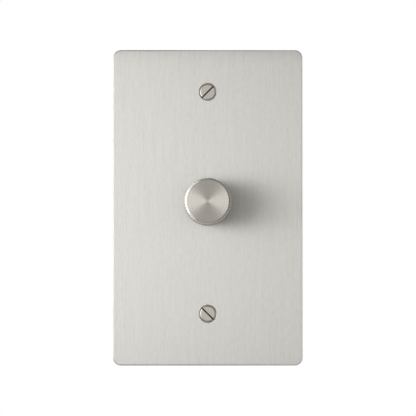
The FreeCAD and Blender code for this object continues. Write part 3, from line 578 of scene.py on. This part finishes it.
def saw_slot(blank, steel, length, width, depth):
    bpy.ops.object.select_all(action="DESELECT")
    bpy.ops.mesh.primitive_cube_add(size=1, scale=(length * MM, 2 * depth * MM, width * MM))
    bar = settled("slot_bar")
    only(blank)
    saw = blank.modifiers.new("slot", "BOOLEAN")
    saw.object = bar
    bpy.ops.object.modifier_apply(modifier="slot")
    bpy.data.objects.remove(bar)
    # The slot's faces get the painted shade
    for material in (steel, slot_painted_shade):
        blank.data.materials.append(material)
    for polygon in blank.data.polygons:
        middle = polygon.center / MM
        inside = abs(middle.z) < width / 2 + hair and under_top < middle.y < depth + hair
        polygon.material_index = 1 if inside else 0
    print(blank.name, "has a slot", width, "mm wide and", depth, "mm deep")


# %% [markdown]
# ## Threads
# The threads are rolled, so each is a ridge on a core. A bump would leave the outline smooth and the
# exported mesh plain, so the ridge is real: a triangle swept along the shank, with its root just under
# the core's surface. A triangle in a circle of radius 1 is 1.5 deep, and its middle lies a third of that
# from its base.

# %% Rolled thread
root = 0.05
ridge_share = 0.55


def rolled_thread(steel, core, thread, pitch, neck, tip):
    rise = thread - core + root
    section = (3, rise / 1.5, ridge_share * pitch)
    turns = int((tip - neck) / pitch) - 1
    ridge = helix("ridge", section, core - root + rise / 3, neck + pitch, pitch, turns)
    ridge.data.materials.append(steel)
    print("thread of", turns, "turns and", pitch, "mm pitch")
    return ridge


# %% [markdown]
# ## Screws
# Every screw is a turned blank with a slot and a thread. The three could stay separate, but a screw is
# one piece, so blank and thread are joined. It is made with the top of its head at the origin, pointing
# along +Y, and only creases sharper than 15 degrees keep a hard edge.

# %% Slotted screw
crease = math.radians(15)


def slotted_screw(name, steel, head, core, thread, pitch, reach, slot):
    neck = head[-1][1]
    tip = reach - thread / 2
    # The bar is longer than the head, so the slot runs right across
    bar_length = 4 * head[1][0]
    width, depth = slot
    blank = turned(name, head + [(core, neck), (core, tip), (core / 2, reach)])
    saw_slot(blank, steel, bar_length, width, depth)
    ridge = rolled_thread(steel, core, thread, pitch, neck, tip)
    only(blank, ridge)
    bpy.ops.object.join()
    bpy.ops.object.shade_smooth_by_angle(angle=crease)
    return blank


# %% [markdown]
# ## Setting out
# What repeats is made once and then copied, turned and moved to its places. Linked copies would share one
# mesh, but each of these has its own, because its place goes into its mesh. The copies are then joined,
# because one solid stands for all of them, and the joined piece takes that solid's body and place.

# %% Copies in their places
def set_out(master, places, turns, facing):
    copies = []
    for place, turn in zip(places, turns):
        only(master)
        bpy.ops.object.duplicate()
        copy = bpy.context.object
        copy.rotation_euler = (0, math.radians(turn), 0)
        bpy.ops.object.transform_apply(location=True, rotation=True, scale=True)
        copy.rotation_euler = (0, 0, 0 if facing == "front" else math.pi)
        copy.location = place
        bpy.ops.object.transform_apply(location=True, rotation=True, scale=True)
        copies.append(copy)
    name = master.name
    bpy.data.objects.remove(master)
    only(*copies)
    bpy.ops.object.join()
    copies[0].name = name
    return copies[0]


def dress(piece, body, node):
    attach(piece, body)
    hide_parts(node)
    print(piece.name, "has", len(piece.data.polygons), "faces and stands for", node)


# %% [markdown]
# The plate's screws are countersunk, and the edge of the flat top falls away in two steps: a shallow
# slope that catches the lamp on the left, then a steep one that stays dark. A bevel could round the edge,
# but two plain rings of the profile give those two bands. The two slots lean opposite ways, as they were
# left.

# %% Plate screws
low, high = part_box("plate_screws")
head_radius = high.x / MM
slope_width, steep_width = 0.5, 0.2
slope_depth, steep_depth, rim_depth = 0.11, 0.4, 0.45
shank, cone_depth, thread_depth = 1.45, 2.05, 3.4
slope_start, steep_start = head_radius - slope_width, head_radius - steep_width
edge = [(slope_start, 0), (steep_start, slope_depth), (head_radius, steep_depth)]
sunk_head = edge + [(head_radius, rim_depth), (shank, cone_depth), (shank, thread_depth)]
plate_screw = slotted_screw("plate_screw_pair", screw_steel, sunk_head, core=1.42, thread=1.75, pitch=0.6,
                            reach=(high.y - low.y) / MM, slot=(0.55, 0.9))
places = [(0, low.y, low.z + high.x), (0, low.y, high.z - high.x)]
leans = (45, -45)
plate_screw = set_out(plate_screw, places, leans, "front")
dress(plate_screw, "switch_body", "plate_screws")

# %% [markdown]
# The housing, the terminals and the earth post have pan-headed screws that face backwards. A pan head is
# a short cylinder whose upper edge is rounded. A sphere would be too round for it, so four rings of the
# turned blank follow a quarter of an ellipse. Each slot stands as its screw came tight, so they point
# different ways.

# %% Pan-headed screws
flat_share, round_share, crown_share = 0.6, 0.4, 0.55
crown_angles = (10, 35, 60, 90)
first_stop, next_stop = 25, 47


def pan_head(radius, height):
    crown = []
    for angle in crown_angles:
        ring = math.radians(angle)
        wide = radius * (flat_share + round_share * math.sin(ring))
        deep = crown_share * height * (1 - math.cos(ring))
        crown.append((wide, deep))
    return [(wide, deep - crown[0][1]) for wide, deep in crown] + [(radius, height)]


def spaced(first, length, count):
    return [first + length * k / max(count - 1, 1) for k in range(count)]


def rear_screws(name, node, radius, height, core, thread, pitch, slot, columns, rows):
    low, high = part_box(node)
    inset = radius * MM
    across = spaced(low.x + inset, high.x - low.x - 2 * inset, columns)
    upward = spaced(low.z + inset, high.z - low.z - 2 * inset, rows)
    places = [(x, high.y, z) for x in across for z in upward]
    reach = (high.y - low.y) / MM
    master = slotted_screw(name, zinc_plate, pan_head(radius, height), core, thread, pitch, reach, slot)
    turns = [first_stop + next_stop * k for k in range(len(places))]
    dress(set_out(master, places, turns, "rear"), "switch_body", node)


rear_screws("housing_screw_set", "case_screws", radius=2.2, height=1.7, core=0.98, thread=1.25,
            pitch=0.8, slot=(0.6, 0.85), columns=2, rows=2)
rear_screws("terminal_screw_set", "terminal_screws", radius=2.1, height=1.6, core=1.22, thread=1.5,
            pitch=0.5, slot=(0.7, 0.8), columns=3, rows=1)
rear_screws("earth_screw_single", "earth_screw", radius=2.9, height=2.0, core=1.22, thread=1.5,
            pitch=0.5, slot=(0.7, 1.0), columns=1, rows=1)

# %% [markdown]
# ## Return spring
# The spring under the plunger is a helix of round wire. The solid stands for it with short straight
# lengths, so here it is swept smoothly. It can't follow the push joint as a rigid piece, so it is tied to
# the switch's body, and its rear end stays on the floor of the switch.

# %% Spring
low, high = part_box("switch_spring")
wire_radius = 0.25
wire_sides = 12
wire_section = (wire_sides, wire_radius, wire_radius)
wire_crease = math.radians(60)
coils = 5
length = (high.y - low.y) / MM
coil_radius = high.x / MM - wire_radius
coil_start = low.y / MM + wire_radius
coil_pitch = (length - 2 * wire_radius) / coils
spring = helix("return_spring", wire_section, coil_radius, coil_start, coil_pitch, coils, steps=40)
bpy.ops.object.shade_smooth_by_angle(angle=wire_crease)
spring.data.materials.append(spring_steel)
dress(spring, "switch_body", "switch_spring")
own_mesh(spring)

# %% [markdown]
# ## Winding of the choke
# The choke is a ring core with one layer of enamelled wire. A ribbed ring would look like it from afar,
# but close up the turns are single wires with gaps, so each is modelled. One turn follows the core's
# section: a plane whose corners are bevelled, its outline turned into a curve and given the wire's
# thickness. The wire is drawn a little thinner than it is, so that neighbours stay apart inside the ring.

# %% One turn of wire
low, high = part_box("choke_winding")
core_low, core_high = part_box("choke_core")
axis = (core_low + core_high) / 2
wire = 0.7
radius_share = 0.46
hole_radius = 3.4
core_radius = (core_high.x - core_low.x) / 2 / MM
middle = ((core_radius + hole_radius) / 2 * MM, axis.y, 0)
section_size = (core_radius - hole_radius + wire, (core_high.y - core_low.y) / MM + wire, 1)
bpy.ops.object.select_all(action="DESELECT")
bpy.ops.mesh.primitive_plane_add(size=MM, location=middle)
turn = settled("choke_turns")
bpy.ops.object.mode_set(mode="EDIT")
bpy.ops.mesh.select_all(action="SELECT")
bpy.ops.transform.resize(value=section_size, center_override=middle)
bpy.ops.mesh.bevel(offset=wire / 2 * MM, segments=4, affect="VERTICES")
bpy.ops.mesh.delete(type="ONLY_FACE")
bpy.ops.object.mode_set(mode="OBJECT")
bpy.ops.object.convert(target="CURVE")
turn = bpy.context.object
turn.data.bevel_depth = radius_share * wire * MM
turn.data.bevel_resolution = 2
bpy.ops.object.convert(target="MESH")
turn = bpy.context.object
turn.data.materials.append(enamelled_copper)
print("one turn measures", [round(v / MM, 2) for v in turn.dimensions])

# %% [markdown]
# The turns lie close together inside the ring and fan out on its outside, with a gap at the bottom
# between the two ends. An Array modifier round an empty would copy them too, but the function that sets
# out screws already does it. Two straight leads go down to the board.

# %% All turns and the leads
count = 22
wound = 300
top = -90
lead_sides = 12
winding_crease = math.radians(50)
turns = [top + wound / 2 - wound * (k + 0.5) / count for k in range(count)]
winding = set_out(turn, [(axis.x, 0, axis.z)] * count, turns, "front")
lead = turned("lead", [(wire / 2, low.y / MM), (wire / 2, core_low.y / MM - wire / 2)], lead_sides)
lead.data.materials.append(enamelled_copper)
ends = [(axis.x + side * hole_radius * MM, 0, axis.z - hole_radius * MM) for side in (-1, 1)]
leads = set_out(lead, ends, (0, 0), "front")
only(winding, leads)
bpy.ops.object.join()
bpy.ops.object.shade_smooth_by_angle(angle=winding_crease)
dress(winding, "switch_body", "choke_winding")

# %% [markdown]
# ## Room
# The photograph was lit softly from the left. The plate's grain shows light only from the sides, so the
# shadow of the knob to the right tells how bright each direction was: dim in front and on the right,
# bright from a quarter turn to the left. The dim part is the room. It could be a box of walls, but a
# world is enough: cooler and lighter on the left, warmer and darker on the right.

# %% Room
left_wall, right_wall = linear("BEBEBF"), linear("9F9B95")
world = bpy.data.worlds.new("studio")
bpy.context.scene.world = world
world.use_nodes = True
tree = world.node_tree
tree.nodes.clear()
way = add(tree, "ShaderNodeTexCoord").outputs["Generated"]
toward = add(tree, "ShaderNodeSeparateXYZ", {0: way}).outputs
limits = {"Value": toward["X"], "From Min": -1.0, "From Max": 1.0}
aside = add(tree, "ShaderNodeMapRange", limits).outputs[0]
walls = add(tree, "ShaderNodeMix", {"Factor": aside, "A": left_wall, "B": right_wall}, data_type="RGBA")
room = add(tree, "ShaderNodeBackground", {"Color": walls.outputs["Result"], "Strength": 1.0})
print("light of the walls:", [round(wall[0], 2) for wall in (left_wall, right_wall)])

# %% [markdown]
# Behind the object there is a white background. More light could make it white, but would bleach the
# object too. So only the camera sees the world as white, and mirror-like rays that pass behind the object
# see that white too, as they would see a white card. To all other rays the world stays the dim room.

# %% White background
card_edge = (0.55, 0.75)
ray = add(tree, "ShaderNodeLightPath").outputs
white = add(tree, "ShaderNodeBackground", {"Color": (1, 1, 1, 1), "Strength": 1.0})
limits = {"Value": toward["Y"], "From Min": card_edge[0], "From Max": card_edge[1]}
card = add(tree, "ShaderNodeMapRange", limits)
mirror_rays = {0: ray["Is Glossy Ray"], 1: ray["Is Transmission Ray"]}
mirrored = add(tree, "ShaderNodeMath", mirror_rays, operation="MAXIMUM")
behind = add(tree, "ShaderNodeMath", {0: mirrored.outputs[0], 1: card.outputs[0]}, operation="MULTIPLY")
shown = add(tree, "ShaderNodeMath", {0: behind.outputs[0], 1: ray["Is Camera Ray"]}, operation="MAXIMUM")
pick = add(tree, "ShaderNodeMixShader", {0: shown.outputs[0], 1: room.outputs[0], 2: white.outputs[0]})
add(tree, "ShaderNodeOutputWorld", {"Surface": pick.outputs[0]})
print("the world has", len(tree.nodes), "nodes")

# %% [markdown]
# ## Soft boxes
# Each soft box is an area lamp, because a point lamp would draw hard shadows. It is placed by its angle
# from the plate's normal and has its brightness written directly; sizes and distances are in metres. A
# wide box in front fills, and a small near one on the left throws the knob's shadow. Two tall strips
# stand almost level with the plate on the left: the short one whitens the knob's bevel, and the long one
# lets that white fade upwards and downwards. The last box lights the rear, which the photograph doesn't
# show.

# %% Soft boxes
def soft_box(name, turn, distance, width, height, brightness, lift=0.0):
    data = bpy.data.lights.new(name, "AREA")
    data.shape = "RECTANGLE"
    data.size = width
    data.size_y = height
    data.energy = brightness * math.pi * width * height
    lamp = bpy.data.objects.new(name, data)
    bpy.context.scene.collection.objects.link(lamp)
    angle = math.radians(turn)
    lamp.location = (-distance * math.sin(angle), -distance * math.cos(angle), lift)
    lamp.rotation_euler = (-lamp.location).to_track_quat("-Z", "Y").to_euler()
    lamp.visible_camera = False
    print(name, "gives", round(data.energy, 3), "W")


soft_box("front_box", turn=4, distance=0.5, width=0.445, height=0.30, brightness=0.70)
soft_box("left_box", turn=38, distance=0.2, width=0.115, height=0.18, brightness=2.9, lift=0.006)
soft_box("edge_box", turn=88, distance=0.3, width=0.084, height=0.40, brightness=1.3)
soft_box("edge_wash", turn=88, distance=0.3, width=0.084, height=1.10, brightness=1.5, lift=0.03)
soft_box("rear_box", turn=165, distance=0.8, width=0.9, height=0.9, brightness=1.2, lift=0.3)

# %% [markdown]
# ## Camera
# The plate's sides are parallel in the photograph. A camera without perspective would give that too, but
# a real one has some, so a long lens from two metres away was chosen. It looks up by two degrees, so that
# a thin strip of the knob's lower side shows. The scale follows from the frame's width in millimetres.

# %% Camera
picture_pixels = 416
pixel_size = 0.3754
frame_width = picture_pixels * pixel_size * MM
distance = 2.0
tilt = math.radians(-2.0)
aim = Vector((0.1, -3.3, -1.97)) * MM
eye = bpy.data.cameras.new("camera")
eye.sensor_width = 36.0
eye.lens = eye.sensor_width * distance / frame_width
camera = bpy.data.objects.new("camera", eye)
bpy.context.scene.collection.objects.link(camera)
camera.location = aim + distance * Vector((0, -math.cos(tilt), math.sin(tilt)))
camera.rotation_euler = (aim - camera.location).to_track_quat("-Z", "Y").to_euler()
bpy.context.scene.camera = camera
bpy.context.scene.view_settings.view_transform = "Standard"
print("lens", round(eye.lens), "mm at", distance, "m")

# %% [markdown]
# ## Floor
# The floor is a plain pale sheet well below the object. A white sheet alone would look grey in this dim
# room, and a brighter lamp would bleach the object, so the sheet adds a glow that only the camera sees. A
# camera that looks up from underneath sees through it, because its lower side is clear.

# %% Floor
floor_size = 6.0
floor_height = -0.6
glow_strength = 0.55
bpy.ops.object.select_all(action="DESELECT")
bpy.ops.mesh.primitive_plane_add(size=floor_size, location=(0, 0, floor_height))
floor = settled("floor")
sheet = bpy.data.materials.new("studio_paper")
sheet.use_nodes = True
tree = sheet.node_tree
tree.nodes.clear()
camera_ray = add(tree, "ShaderNodeLightPath").outputs["Is Camera Ray"]
paper_skin = add(tree, "ShaderNodeBsdfDiffuse", {"Color": linear("EDEDEC")})
glow = add(tree, "ShaderNodeEmission", {"Strength": glow_strength})
lit = add(tree, "ShaderNodeAddShader", {0: paper_skin.outputs[0], 1: glow.outputs[0]})
seen = add(tree, "ShaderNodeMixShader", {0: camera_ray, 1: paper_skin.outputs[0], 2: lit.outputs[0]})
below = add(tree, "ShaderNodeNewGeometry").outputs["Backfacing"]
clear = add(tree, "ShaderNodeBsdfTransparent")
sided = add(tree, "ShaderNodeMixShader", {0: below, 1: seen.outputs[0], 2: clear.outputs[0]})
add(tree, "ShaderNodeOutputMaterial", {"Surface": sided.outputs[0]})
floor.data.materials.append(sheet)
